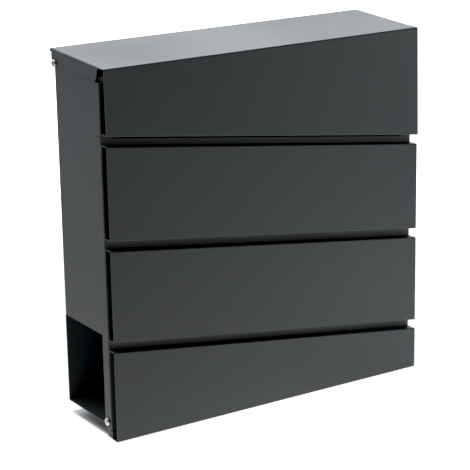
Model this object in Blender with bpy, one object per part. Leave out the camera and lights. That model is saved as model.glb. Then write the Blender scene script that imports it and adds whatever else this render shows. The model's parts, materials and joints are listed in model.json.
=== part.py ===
"""Wall-hung sheet-steel letterbox: a hooded lid, a bottom-hung front door with
three decorative channel panels, and an open-ended newspaper compartment.

Frame: origin at the centre of the back plate's rear face, where the box meets
its wall. +Z is up, the front faces -Y. Lengths in the helpers are millimetres
and are turned into metres when a mesh is made.

Heights are counted from the lid's front fold ("drop" below it), and depths
from the plane of the door panels' front faces.
"""

import math

import bmesh
import bpy
from mathutils import Matrix, Vector

MM = 0.001

# ---- driving dimensions (millimetres) --------------------------------------
WIDTH = 370.0            # over the lid flanges, the door and the panels
SHEET = 1.0              # powder-coated steel sheet
BEND = 1.3               # outer bend radius of every fold
BODY_INSET = 2.0         # body side's outer face, in from the lid flange's outer face
BACK_DEPTH = 104.2       # panel front plane to the back plate's rear face
TOP_DROP = 3.5           # top edge of the body below the lid's front fold
BOTTOM_DROP = 361.2      # underside of the body
OPENING_DROP = 268.1     # top edge of the newspaper openings
OPENING_FRONT = 24.5     # front edge of the newspaper openings
BODY_FRONT = 12.9        # front edge of the body's sides
CORNER_CLIP = 21.5       # the sides' top front corners are cut back to this depth

LID_FRONT = 0.8          # lid's front fold behind the panel front plane
LID_REAR = 107.0         # lid's rear fold
LID_RISE = 5.3           # the lid's rear fold is this much higher than the front one
LID_FLANGE_DROP = 12.5   # lower edge of the lid's side flanges
SKIRT_LEFT = 63.8        # height of the lid's front skirt at the left end
SKIRT_LEAN = 0.021       # the skirt leans out by this much per unit of height
SLANT = 49.8             # drop of every slanted front joint, left end to right end

GAP = 9.7                # shadow gap between the front panels
PANEL = 92.9             # height of the two parallel panels
FRONT_DROP = 372.4       # bottom edge of the lowest panel
PLATE_DEPTH = 11.2       # front face of the fascia and of the door leaf
FLANGE_DEPTH = 23.3      # rear edge of the fascia's and the door's side flanges
FASCIA_TOP = 14.5        # top fold of the fascia
SPLIT = 2.5              # lower edge of the fascia below the skirt's lower edge
SPLIT_GAP = 0.35         # gap between the fascia and the door
HEM = 8.0                # welding hems inside the channel panels

LID_AXIS = (99.4, 9.0)   # depth and drop of the lid's hinge screws
DOOR_AXIS = (18.0, 356.1)  # depth and drop of the door's hinge screws
LOCK_DROP = 66.0         # lock axis, on the middle of the width

HEAD_R, HEAD_H = 4.0, 2.5
SHANK_R, HOLE_R = 1.95, 2.2
WASHER_R, WASHER_T = 4.3, 0.6
NUT_AF, NUT_T = 7.0, 3.2
PLAY = 0.2               # gap between stacked hinge pieces
WALL_HOLE_R = 3.5

GREY = (0.055, 0.062, 0.066, 1.0)
STEEL = (0.62, 0.63, 0.64, 1.0)
NYLON = (0.08, 0.08, 0.08, 1.0)
BLACK = (0.012, 0.012, 0.012, 1.0)

MID_DROP = (TOP_DROP + BOTTOM_DROP) / 2.0
HALF = WIDTH / 2.0


def pt(across, depth, drop):
    """A point given from the left end, back from the panel fronts and down from the lid's front fold."""
    return Vector((across - HALF, depth - BACK_DEPTH, MID_DROP - drop))


def slanted(drop_left, across):
    """Drop of a slanted joint at a distance from the left end."""
    return drop_left + SLANT * across / WIDTH


# ---- scene and materials -----------------------------------------------------
for old in list(bpy.data.objects):
    bpy.data.objects.remove(old, do_unlink=True)


def material(name, colour, rough, metal):
    mat = bpy.data.materials.new(name)
    mat.use_nodes = True
    shader = mat.node_tree.nodes["Principled BSDF"]
    shader.inputs["Base Color"].default_value = colour
    shader.inputs["Roughness"].default_value = rough
    shader.inputs["Metallic"].default_value = metal
    return mat


def link(name, mesh, kind, axis=None):
    """Makes the object; with an axis point its origin sits there."""
    obj = bpy.data.objects.new(name, mesh)
    bpy.context.scene.collection.objects.link(obj)
    colour, rough, metal = {
        "coat": (GREY, 0.5, 0.0),
        "steel": (STEEL, 0.3, 1.0),
        "nylon": (NYLON, 0.6, 0.0),
        "rubber": (BLACK, 0.8, 0.0),
    }[kind]
    mesh.materials.append(material(name, colour, rough, metal))
    if axis is not None:
        origin = Vector(axis) * MM
        mesh.transform(Matrix.Translation(-origin))
        obj.location = origin
    return obj


def mesh_of(name, faces):
    """A mesh from lists of corner points in millimetres; points that coincide are one vertex."""
    bm = bmesh.new()
    found = {}

    def vert(p):
        key = (round(p[0], 4), round(p[1], 4), round(p[2], 4))
        if key not in found:
            found[key] = bm.verts.new(Vector(p) * MM)
        return found[key]

    for corners in faces:
        ring = []
        for p in corners:
            v = vert(p)
            if v not in ring:
                ring.append(v)
        if len(ring) > 2:
            bm.faces.new(ring)
    mesh = bpy.data.meshes.new(name)
    bm.to_mesh(mesh)
    bm.free()
    return mesh


def arc(centre, u, v, radius, steps=4):
    """Points of a quarter turn from centre + u*radius to centre + v*radius."""
    out = []
    for i in range(steps + 1):
        a = math.pi / 2.0 * i / steps
        out.append(centre + u * (radius * math.cos(a)) + v * (radius * math.sin(a)))
    return out


def ribbon(row_a, row_b):
    """Quads between two rows of points."""
    return [[row_a[i], row_a[i + 1], row_b[i + 1], row_b[i]] for i in range(len(row_a) - 1)]


def sheet_object(name, faces, up, kind="coat", axis=None):
    """A folded sheet from its outer surface: faces are turned to agree with the first, whose
    normal is near `up`, and the sheet's thickness goes inward."""
    mesh = mesh_of(name, faces)
    bm = bmesh.new()
    bm.from_mesh(mesh)
    bmesh.ops.recalc_face_normals(bm, faces=bm.faces)
    bm.faces.ensure_lookup_table()
    if bm.faces[0].normal.dot(Vector(up)) < 0:
        bmesh.ops.reverse_faces(bm, faces=bm.faces)
    bm.to_mesh(mesh)
    bm.free()
    obj = link(name, mesh, kind, axis)
    thick = obj.modifiers.new("Sheet", "SOLIDIFY")
    thick.thickness = SHEET * MM
    thick.offset = -1.0
    thick.use_even_offset = True
    thick.use_rim = True
    return obj


def lathe(name, profile, place, turn, kind, sides=20, axis=None):
    """A closed turned piece. profile is (radius, height) pairs from bottom to top along +Z; a
    radius of 0 at an end closes it there, otherwise the profile is a closed ring. turn brings +Z
    to the piece's own direction."""
    faces = []
    solid = profile[0][0] == 0.0 and profile[-1][0] == 0.0
    rows = []
    for r, h in profile:
        rows.append([Vector((r * math.cos(2 * math.pi * i / sides + math.pi / sides), r * math.sin(2 * math.pi * i / sides + math.pi / sides), h)) for i in range(sides)])
    pairs = list(zip(rows, rows[1:])) if solid else list(zip(rows, rows[1:] + rows[:1]))
    for low, high in pairs:
        for i in range(sides):
            j = (i + 1) % sides
            faces.append([turn @ low[i] + place, turn @ low[j] + place, turn @ high[j] + place, turn @ high[i] + place])
    mesh = mesh_of(name, faces)
    tidy(mesh)
    mesh.shade_smooth()
    mesh.set_sharp_from_angle(angle=math.radians(35))
    return link(name, mesh, kind, axis)


def prism(name, outline, place, along, kind=None, axis=None):
    """A closed prism: outline points (vectors) moved to place, carried along a vector."""
    low = [place + p for p in outline]
    high = [p + along for p in low]
    count = len(low)
    faces = [list(low), list(high)]
    faces += [[low[i], low[(i + 1) % count], high[(i + 1) % count], high[i]] for i in range(count)]
    mesh = mesh_of(name, faces)
    tidy(mesh)
    if kind is None:
        obj = bpy.data.objects.new(name, mesh)
        bpy.context.scene.collection.objects.link(obj)
        obj.hide_render = True
        obj.display_type = "WIRE"
        return obj
    return link(name, mesh, kind, axis)


def tidy(mesh):
    bm = bmesh.new()
    bm.from_mesh(mesh)
    bmesh.ops.recalc_face_normals(bm, faces=bm.faces)
    bm.to_mesh(mesh)
    bm.free()


def cut(obj, cutter, operation="DIFFERENCE"):
    mod = obj.modifiers.new(cutter.name, "BOOLEAN")
    mod.operation = operation
    mod.solver = "EXACT"
    mod.object = cutter


def round_cutter(name, centre, direction, radius, length, sides=20):
    """A round cutter centred on a point, its axis along a unit direction."""
    turn = Vector((0, 0, 1)).rotation_difference(direction).to_matrix()
    ring = [turn @ Vector((radius * math.cos(2 * math.pi * i / sides), radius * math.sin(2 * math.pi * i / sides), 0)) for i in range(sides)]
    return prism(name, ring, centre - direction * (length / 2.0), direction * length)


X, Y, Z = Vector((1, 0, 0)), Vector((0, 1, 0)), Vector((0, 0, 1))
FRONT, REAR, LEFT, RIGHT, UP, DOWN = -Y, Y, -X, X, Z, -Z
TO_X = Matrix.Rotation(math.radians(90), 3, "Y")      # +Z to +X
TO_NEG_X = Matrix.Rotation(math.radians(-90), 3, "Y")
TO_Y = Matrix.Rotation(math.radians(-90), 3, "X")     # +Z to +Y
B = BEND

lid_axis = pt(HALF, *LID_AXIS)
door_axis = pt(HALF, *DOOR_AXIS)
lock_axis = pt(HALF, PLATE_DEPTH, LOCK_DROP)


# ---- body shell: back, two sides and floor from one sheet ----------------------
def body_shell():
    faces = []
    rear, low, top = BACK_DEPTH, BOTTOM_DROP, TOP_DROP
    left, right = BODY_INSET, WIDTH - BODY_INSET
    # back plate: full width beside the newspaper compartment, folded into the sides above it
    faces.append([
        pt(left + B, rear, top), pt(left + 8, rear, top), pt(left + 8, rear, top + B),
        pt(right - 8, rear, top + B), pt(right - 8, rear, top), pt(right - B, rear, top),
        pt(right - B, rear, OPENING_DROP), pt(right, rear, OPENING_DROP), pt(right, rear, low - B),
        pt(left, rear, low - B), pt(left, rear, OPENING_DROP), pt(left + B, rear, OPENING_DROP),
    ])
    # back plate's top edge folded forward
    fold_l = arc(pt(left + 8, rear - B, top + B), REAR, UP, B)
    fold_r = arc(pt(right - 8, rear - B, top + B), REAR, UP, B)
    faces += ribbon(fold_l, fold_r)
    faces.append([fold_l[-1], fold_r[-1], pt(right - 8, rear - 11, top), pt(left + 8, rear - 11, top)])
    # floor, folded from the back plate's lower edge; beside the front strips it keeps a seam's gap
    fold_l = arc(pt(left, rear - B, low - B), REAR, DOWN, B)
    fold_r = arc(pt(right, rear - B, low - B), REAR, DOWN, B)
    faces += ribbon(fold_l, fold_r)
    front = DOOR_AXIS[0]
    faces.append([
        fold_l[-1], fold_r[-1], pt(right, OPENING_FRONT + 0.3, low), pt(right - SHEET - 0.3, OPENING_FRONT + 0.3, low),
        pt(right - SHEET - 0.3, front, low), pt(right - 9, front, low), pt(right - 9, front + B, low),
        pt(left + 9, front + B, low), pt(left + 9, front, low), pt(left + SHEET + 0.3, front, low),
        pt(left + SHEET + 0.3, OPENING_FRONT + 0.3, low), pt(left, OPENING_FRONT + 0.3, low),
    ])
    # floor's front edge folded up
    lip_l = arc(pt(left + 9, front + B, low - B), DOWN, FRONT, B)
    lip_r = arc(pt(right - 9, front + B, low - B), DOWN, FRONT, B)
    faces += ribbon(lip_l, lip_r)
    faces.append([lip_l[-1], lip_r[-1], pt(right - 9, front, low - 12), pt(left + 9, front, low - 12)])
    # sides
    for edge, out, inn in ((left, LEFT, 1), (right, RIGHT, -1)):
        corner_low = arc(pt(edge + inn * B, rear - B, OPENING_DROP), REAR, out, B)
        corner_top = arc(pt(edge + inn * B, rear - B, top), REAR, out, B)
        faces += ribbon(corner_low, corner_top)
        lip_low, lip_top = low - 16.0, FASCIA_TOP + 6.0
        heel = arc(pt(edge, DOOR_AXIS[0], DOOR_AXIS[1]), DOWN, FRONT, low - DOOR_AXIS[1], 5)
        side = [corner_top[-1], corner_low[-1], pt(edge, OPENING_FRONT, OPENING_DROP), pt(edge, OPENING_FRONT, low)]
        side += heel
        side += [
            pt(edge, BODY_FRONT, lip_low), pt(edge, BODY_FRONT + B, lip_low),
            pt(edge, BODY_FRONT + B, lip_top), pt(edge, BODY_FRONT, lip_top),
            pt(edge, BODY_FRONT, FASCIA_TOP + 4.0), pt(edge, CORNER_CLIP, FASCIA_TOP + 2.0), pt(edge, CORNER_CLIP, top),
        ]
        faces.append(side)
        # front edge folded inward
        lo = arc(pt(edge + inn * B, BODY_FRONT + B, lip_low), out, FRONT, B)
        hi = arc(pt(edge + inn * B, BODY_FRONT + B, lip_top), out, FRONT, B)
        faces += ribbon(lo, hi)
        faces.append([lo[-1], hi[-1], pt(edge + inn * 9, BODY_FRONT, lip_top), pt(edge + inn * 9, BODY_FRONT, lip_low)])
    obj = sheet_object("body_shell", faces, REAR)
    # wall-fixing holes, in the letter compartment, and hinge holes
    for i, (across, drop) in enumerate(((45, 55), (325, 55), (45, 235), (325, 235))):
        cut(obj, round_cutter(f"wall_hole_{i}", pt(across, rear, drop), Y, WALL_HOLE_R, 12))
    for name, axis in (("lid", lid_axis), ("door", door_axis)):
        for side, edge in (("left", left), ("right", right)):
            centre = Vector((edge - HALF, axis.y, axis.z))
            cut(obj, round_cutter(f"body_{name}_hole_{side}", centre, X, HOLE_R, 6))
    return obj


body_shell()


# ---- shelf between the letter and the newspaper compartments ------------------
def compartment_shelf():
    g = 0.3
    left, right = BODY_INSET + SHEET + g, WIDTH - BODY_INSET - SHEET - g
    rear, front = BACK_DEPTH - SHEET - g, BODY_FRONT + SHEET + 2.0
    low = OPENING_DROP - 1.0
    up = 11.0
    faces = [[pt(left + B, front + B, low), pt(right - B, front + B, low), pt(right - B, rear - B, low), pt(left + B, rear - B, low)]]
    # front edge turned down would catch the mail, so all four edges turn up, with open corners
    for a, b, out in (
        (pt(left + B, front + B, low - B), pt(right - B, front + B, low - B), FRONT),
        (pt(right - B, rear - B, low - B), pt(left + B, rear - B, low - B), REAR),
        (pt(left + B, rear - B, low - B), pt(left + B, front + B, low - B), LEFT),
        (pt(right - B, front + B, low - B), pt(right - B, rear - B, low - B), RIGHT),
    ):
        row_a, row_b = arc(a, DOWN, out, B), arc(b, DOWN, out, B)
        faces += ribbon(row_a, row_b)
        rise = UP * (up - B)
        faces.append([row_a[-1], row_b[-1], row_b[-1] + rise, row_a[-1] + rise])
    return sheet_object("compartment_shelf", faces, DOWN)


compartment_shelf()


# ---- front plates with side flanges --------------------------------------------
def side_flange(top_drop, low_drop, edge, out, inn, clip=0.0):
    """Bend and side flange of a front plate; clip cuts the flange's lower rear corner."""
    hi = arc(pt(edge + inn * B, PLATE_DEPTH + B, top_drop), FRONT, out, B)
    lo = arc(pt(edge + inn * B, PLATE_DEPTH + B, low_drop), FRONT, out, B)
    faces = ribbon(hi, lo)
    plate = [hi[-1], lo[-1]]
    if clip:
        plate += [pt(edge, FLANGE_DEPTH - 4.6, low_drop), pt(edge, FLANGE_DEPTH, low_drop - clip)]
    else:
        plate += [pt(edge, FLANGE_DEPTH, low_drop)]
    plate += [pt(edge, FLANGE_DEPTH, top_drop)]
    faces.append(plate)
    return faces


def back_fold(a, b, depth, normal_in):
    """A fold from the front plane back: a and b are the bend's centre points, normal_in the side
    the folded flange faces."""
    row_a, row_b = arc(a, FRONT, normal_in, B), arc(b, FRONT, normal_in, B)
    faces = ribbon(row_a, row_b)
    back = REAR * (depth - B)
    faces.append([row_a[-1], row_b[-1], row_b[-1] + back, row_a[-1] + back])
    return faces


def front_fascia():
    top = FASCIA_TOP
    low_l = SKIRT_LEFT + SPLIT
    in_l, in_r = BODY_INSET + SHEET + 0.7, WIDTH - BODY_INSET - SHEET - 0.7
    fl, fr = 14.0, WIDTH - 14.0
    slope = SLANT / WIDTH
    across = Vector((1, 0, -slope)).normalized()
    down = Vector((across.z, 0, -across.x))
    d = PLATE_DEPTH

    # the lower fold follows the slanted edge
    def low(x, inset=0.0):
        return pt(x, d, slanted(low_l, x)) - down * inset
    plate = [
        pt(B, d, top), pt(in_l, d, top), pt(in_l, d, top + B), pt(in_r, d, top + B), pt(in_r, d, top), pt(WIDTH - B, d, top),
        pt(WIDTH - B, d, slanted(low_l, WIDTH - B)), low(fr), low(fr, B), low(fl, B), low(fl), pt(B, d, slanted(low_l, B)),
    ]
    faces = [plate]
    faces += side_flange_slant(top, low_l)
    faces += back_fold(pt(in_l, d + B, top + B), pt(in_r, d + B, top + B), 30.0, UP)
    faces += back_fold(low(fl, B) + REAR * B, low(fr, B) + REAR * B, 7.0, down)
    obj = sheet_object("front_fascia", faces, FRONT)
    cut(obj, round_cutter("fascia_lock_hole", lock_axis, Y, 8.3, 10, 28))
    return obj


def side_flange_slant(top, low_l):
    """Side flanges of the fascia, whose lower edges follow the slanted split."""
    faces = []
    for edge, out, inn in ((0.0, LEFT, 1), (WIDTH, RIGHT, -1)):
        drop = slanted(low_l, edge + inn * B)
        faces += side_flange(top, drop, edge, out, inn)
    return faces


front_fascia()


def door_leaf():
    top_l = SKIRT_LEFT + SPLIT + SPLIT_GAP
    low = FRONT_DROP - 0.8
    d = PLATE_DEPTH
    fl, fr = 14.0, WIDTH - 14.0
    slope = SLANT / WIDTH
    across = Vector((1, 0, -slope)).normalized()
    down = Vector((across.z, 0, -across.x))

    def high(x, inset=0.0):
        return pt(x, d, slanted(top_l, x)) + down * inset

    plate = [
        pt(B, d, slanted(top_l, B)), high(fl), high(fl, B), high(fr, B), high(fr), pt(WIDTH - B, d, slanted(top_l, WIDTH - B)),
        pt(WIDTH - B, d, low), pt(B, d, low),
    ]
    faces = [plate]
    for edge, out, inn in ((0.0, LEFT, 1), (WIDTH, RIGHT, -1)):
        faces += side_flange(slanted(top_l, edge + inn * B), low, edge, out, inn, clip=12.0)
    faces += back_fold(high(fl, B) + REAR * B, high(fr, B) + REAR * B, 7.0, -down)
    obj = sheet_object("door_leaf", faces, FRONT, axis=door_axis)
    for side, edge in (("left", 0.0), ("right", WIDTH)):
        centre = Vector((edge - HALF, door_axis.y, door_axis.z))
        cut(obj, round_cutter(f"door_hole_{side}", centre, X, HOLE_R, 6))
    for side, off in (("left", -9.0), ("right", 9.0)):
        centre = pt(HALF + off, d, KEEPER_RIVET_DROP)
        cut(obj, round_cutter(f"door_rivet_hole_{side}", centre, Y, 1.8, 6, 14))
    return obj


KEEPER_RIVET_DROP = 112.0


# ---- channel panels --------------------------------------------------------------
def channel(name, top_l, top_r, low_l, low_r):
    """An open-ended channel panel: face, top and bottom returns, and hems against the door leaf."""
    depth = PLATE_DEPTH - 0.3

    def end(x, top, low):
        row = [pt(x, depth, top + HEM), pt(x, depth, top)]
        row += arc(pt(x, B, top + B), UP, FRONT, B)
        row += arc(pt(x, B, low - B), FRONT, DOWN, B)
        row += [pt(x, depth, low), pt(x, depth, low - HEM)]
        return row

    faces = ribbon(end(0.0, top_l, low_l), end(WIDTH, top_r, low_r))
    faces = [faces[6]] + faces[:6] + faces[7:]
    return sheet_object(name, faces, FRONT, axis=door_axis)


tops = [SKIRT_LEFT + GAP, SKIRT_LEFT + 2 * GAP + PANEL, SKIRT_LEFT + 3 * GAP + 2 * PANEL]
door_leaf()
channel("panel_upper", tops[0], tops[0] + SLANT, tops[0] + PANEL, tops[0] + PANEL + SLANT)
channel("panel_middle", tops[1], tops[1] + SLANT, tops[1] + PANEL, tops[1] + PANEL + SLANT)
channel("panel_lower", tops[2], tops[2] + SLANT, FRONT_DROP, FRONT_DROP)


# ---- lid ---------------------------------------------------------------------------
def lid():
    slope = LID_RISE / (LID_REAR - LID_FRONT)
    along = Vector((0, 1, slope)).normalized()       # up the lid towards the rear
    over = Vector((0, -along.z, along.y))            # normal of the lid's top
    skirt_down = Vector((0, -SKIRT_LEAN, -1)).normalized()
    skirt_out = Vector((0, skirt_down.z, -skirt_down.y))

    def top_at(x, depth):
        return pt(x, depth, -(depth - LID_FRONT) * slope)

    def fillet(corner, dir_in, dir_out, n_in, n_out, steps=4):
        """Rounded corner between two straight runs, for any angle."""
        turn = math.acos(max(-1.0, min(1.0, dir_in.dot(dir_out))))
        reach = B * math.tan(turn / 2.0)
        centre = corner - dir_in * reach - n_in * B
        out = []
        for i in range(steps + 1):
            f = i / steps
            n = (n_in * math.sin((1 - f) * turn) + n_out * math.sin(f * turn)) / math.sin(turn)
            out.append(centre + n.normalized() * B)
        return out

    lip_dir = Vector((0, math.sin(math.radians(40)), -math.cos(math.radians(40))))
    lip_out = Vector((0, math.cos(math.radians(40)), math.sin(math.radians(40))))
    rows = {}
    for x in (0.0, WIDTH):
        height = slanted(SKIRT_LEFT, x)
        crest = pt(x, LID_FRONT, 0.0)
        foot = crest + skirt_down * (height / -skirt_down.z)
        low = fillet(foot, FRONT, -skirt_down, DOWN, skirt_out)
        tip = Vector((foot.x, pt(0, PLATE_DEPTH - 0.6, 0).y, foot.z))
        front = fillet(crest, -skirt_down, along, skirt_out, over)
        heel = fillet(top_at(x, LID_REAR), along, lip_dir, over, lip_out, 3)
        end = top_at(x, LID_REAR) + lip_dir * 4.2
        rows[x] = (tip, low, front, heel, end)
    tip_a, low_a, front_a, heel_a, end_a = rows[0.0]
    tip_b, low_b, front_b, heel_b, end_b = rows[WIDTH]
    y0, y1 = 12.6, 106.0
    top = [
        front_a[-1], top_at(0, y0), top_at(B, y0), top_at(B, y1), top_at(0, y1), heel_a[0],
        heel_b[0], top_at(WIDTH, y1), top_at(WIDTH - B, y1), top_at(WIDTH - B, y0), top_at(WIDTH, y0), front_b[-1],
    ]
    faces = [top]
    faces += ribbon(front_a, front_b)
    faces.append([low_a[-1], front_a[0], front_b[0], low_b[-1]])
    faces += ribbon(low_a, low_b)
    faces.append([tip_a, low_a[0], low_b[0], tip_b])
    faces += ribbon(heel_a, heel_b)
    faces.append([heel_a[-1], end_a, end_b, heel_b[-1]])
    for edge, out, inn in ((0.0, LEFT, 1), (WIDTH, RIGHT, -1)):
        fore = arc(top_at(edge + inn * B, y0) - UP * B, UP, out, B)
        aft = arc(top_at(edge + inn * B, y1) - UP * B, UP, out, B)
        faces += ribbon(fore, aft)
        faces.append([
            fore[-1], aft[-1], pt(edge, y1, LID_FLANGE_DROP - 2.5), pt(edge, y1 - 0.8, LID_FLANGE_DROP - 0.8), pt(edge, y1 - 2.5, LID_FLANGE_DROP),
            pt(edge, 17.8, LID_FLANGE_DROP), pt(edge, 16.8, LID_FLANGE_DROP - 0.5), pt(edge, 16.2, LID_FLANGE_DROP - 1.6),
        ])
    obj = sheet_object("lid", faces, UP, axis=lid_axis)
    for side, edge in (("left", 0.0), ("right", WIDTH)):
        centre = Vector((edge - HALF, lid_axis.y, lid_axis.z))
        cut(obj, round_cutter(f"lid_hole_{side}", centre, X, HOLE_R, 6))
    for side, x in (("left", BUFFER_IN), ("right", WIDTH - BUFFER_IN)):
        cut(obj, round_cutter(f"lid_buffer_hole_{side}", buffer_at(x), buffer_axis, 1.9, 8, 16))
    return obj


BUFFER_IN = 16.5
BUFFER_DEPTH = 7.9
buffer_axis = Vector((SLANT / WIDTH, 0, 1)).normalized()


def buffer_at(x):
    return pt(x, BUFFER_DEPTH, slanted(SKIRT_LEFT, x))


lid()

# rubber studs pushed through the skirt's lower return, which land against the fascia
for side, x in (("left", BUFFER_IN), ("right", WIDTH - BUFFER_IN)):
    turn = Z.rotation_difference(buffer_axis).to_matrix()
    g = 0.2
    lathe(
        f"lid_buffer_{side}",
        [(0, -g - 1.6), (2.2, -g - 1.6), (3.0, -g - 1.0), (3.0, -g), (1.6, -g), (1.6, SHEET + g), (2.5, SHEET + g), (1.8, SHEET + g + 1.6), (0, SHEET + g + 1.6)],
        buffer_at(x), turn, "rubber", 16, axis=lid_axis,
    )


# ---- hinge screws, washers and nuts -------------------------------------------------
def hex_nut(name, centre, direction, across_flats, bore, thickness, kind, flat_at=0.0, axis=None, sides=24):
    """A hexagon nut with a round bore, made as one ring between two loops of equal count."""
    turn = Z.rotation_difference(direction).to_matrix()
    outer, inner = [], []
    for i in range(sides):
        a = 2 * math.pi * i / sides
        facet = (a + math.pi / 6) % (math.pi / 3) - math.pi / 6
        r = across_flats / 2.0 / math.cos(facet)
        outer.append((r * math.cos(a + flat_at), r * math.sin(a + flat_at)))
        inner.append((bore * math.cos(a + flat_at), bore * math.sin(a + flat_at)))
    def at(p, h):
        return turn @ Vector((p[0], p[1], h)) + centre
    faces = []
    for i in range(sides):
        j = (i + 1) % sides
        faces.append([at(outer[i], 0), at(outer[j], 0), at(outer[j], thickness), at(outer[i], thickness)])
        faces.append([at(inner[i], 0), at(inner[j], 0), at(inner[j], thickness), at(inner[i], thickness)])
        faces.append([at(outer[i], 0), at(outer[j], 0), at(inner[j], 0), at(inner[i], 0)])
        faces.append([at(outer[i], thickness), at(outer[j], thickness), at(inner[j], thickness), at(inner[i], thickness)])
    mesh = mesh_of(name, faces)
    tidy(mesh)
    mesh.shade_smooth()
    mesh.set_sharp_from_angle(angle=math.radians(25))
    return link(name, mesh, kind, axis)


def hinge_set(what, axis):
    for side, edge, inward, turn in (("left", 0.0, X, TO_X), ("right", WIDTH, -X, TO_NEG_X)):
        face = Vector((edge - HALF, axis.y, axis.z))
        # pan-head screw from outside, in through the moving flange, washer, body side and nut
        reach = BODY_INSET + SHEET + PLAY + NUT_T + 1.2
        profile = [(0, -PLAY - HEAD_H), (1.7, -PLAY - HEAD_H), (2.9, -PLAY - HEAD_H + 0.35), (3.7, -PLAY - HEAD_H + 1.05), (HEAD_R, -PLAY - HEAD_H + 1.8), (HEAD_R, -PLAY), (SHANK_R, -PLAY), (SHANK_R, reach - 0.4), (SHANK_R - 0.4, reach), (0, reach)]
        lathe(f"{what}_hinge_screw_{side}", profile, face, turn, "steel", 20)
        inner = SHEET + PLAY
        lathe(
            f"{what}_hinge_washer_{side}",
            [(HOLE_R, inner), (WASHER_R, inner), (WASHER_R, inner + WASHER_T), (HOLE_R, inner + WASHER_T)],
            face, turn, "nylon", 20,
        )
        seat = face + inward * (BODY_INSET + SHEET + PLAY)
        hex_nut(f"{what}_hinge_nut_{side}", seat, inward, NUT_AF, 2.15, NUT_T, "steel", flat_at=math.radians(90))


hinge_set("lid", lid_axis)
hinge_set("door", door_axis)


# ---- lock: housing, nut, plug, cam and cam screw --------------------------------------
def lock():
    zero = lock_axis
    head, thread_end, plug_end = -2.7, 17.0, 18.4
    lathe(
        "lock_housing",
        [(5.8, head + 0.2), (8.6, head + 0.2), (9.6, head + 1.0), (9.6, -0.2), (8.0, -0.2), (8.0, thread_end), (5.8, thread_end)],
        zero, TO_Y, "steel", 28,
    )
    hex_nut("lock_nut", zero + Y * (SHEET + 0.3), Y, 20.0, 8.2, 4.0, "steel", sides=36)
    plug = lathe(
        "lock_plug",
        [(0, head), (5.0, head), (5.5, head + 0.5), (5.5, plug_end), (2.6, plug_end), (2.6, plug_end + 2.6), (0, plug_end + 2.6)],
        zero, TO_Y, "steel", 24, axis=zero,
    )
    key = prism("keyway", [Vector((-1.1, 0, -3.9)), Vector((1.1, 0, -3.9)), Vector((1.1, 0, 3.9)), Vector((-1.1, 0, 3.9))], zero + Y * (head - 1.0), Y * 9.0)
    # the keyway stands across the cam's direction
    cut(plug, key)
    bore = round_cutter("plug_thread", zero + Y * (plug_end + 1.6), Y, 1.6, 9.0, 14)
    cut(plug, bore)
    # cam: a flat arm with a round eye on the plug's tail; it points sideways when open
    t0 = plug_end + 0.3
    outline = []
    for i in range(13):
        a = math.radians(90 + 180 * i / 12)
        outline.append(Vector((8.0 * math.cos(a), 0, 8.0 * math.sin(a))))
    outline += [Vector((30.0, 0, -6.0)), Vector((36.0, 0, -4.5)), Vector((36.0, 0, 4.5)), Vector((30.0, 0, 6.0))]
    cam = prism("lock_cam", outline, zero + Y * t0, Y * 1.8, "steel", axis=zero)
    cut(cam, round_cutter("cam_eye", zero + Y * (t0 + 0.9), Y, 2.8, 6.0, 20))
    base = plug_end + 2.6 + 0.3
    lathe(
        "lock_cam_screw",
        [(0, plug_end - 1.0), (1.3, plug_end - 1.0), (1.3, base), (3.8, base), (3.8, base + 1.2), (2.6, base + 2.2), (0, base + 2.2)],
        zero, TO_Y, "steel", 18, axis=zero,
    )
    return t0


cam_front = lock()


# ---- keeper on the door, which the cam drops in front of --------------------------------
def keeper():
    t, half = 1.5, 16.0
    face = PLATE_DEPTH + SHEET + 0.3
    stand = PLATE_DEPTH + cam_front + 1.8 + 0.5        # front of the upstand, just behind the cam
    top, seat, low = 94.0, 104.0, 119.0
    # the outline runs: foot on the leaf, arm going back, upstand
    out = [
        (face, low), (face, seat), (stand, seat), (stand, top), (stand + t, top),
        (stand + t, seat + t), (face + t, seat + t), (face + t, low),
    ]
    outline = [pt(HALF - half, d, z) for d, z in out]
    obj = prism("keeper_bracket", outline, Vector((0, 0, 0)), X * (2 * half), "coat", axis=door_axis)
    for side, off in (("left", -9.0), ("right", 9.0)):
        cut(obj, round_cutter(f"keeper_hole_{side}", pt(HALF + off, face, KEEPER_RIVET_DROP), Y, 1.8, 6, 14))
        lathe(
            f"keeper_rivet_{side}",
            [(0, -1.4), (1.8, -1.4), (2.8, -0.8), (3.0, -0.2), (1.55, -0.2), (1.55, SHEET + 0.3 + t + 0.2), (2.7, SHEET + 0.3 + t + 0.2), (2.2, SHEET + 0.3 + t + 1.4), (0, SHEET + 0.3 + t + 1.4)],
            pt(HALF + off, PLATE_DEPTH, KEEPER_RIVET_DROP), TO_Y, "steel", 14, axis=door_axis,
        )


keeper()
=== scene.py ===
import json
import math

import bmesh
import bpy
from mathutils import Matrix, Vector

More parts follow.
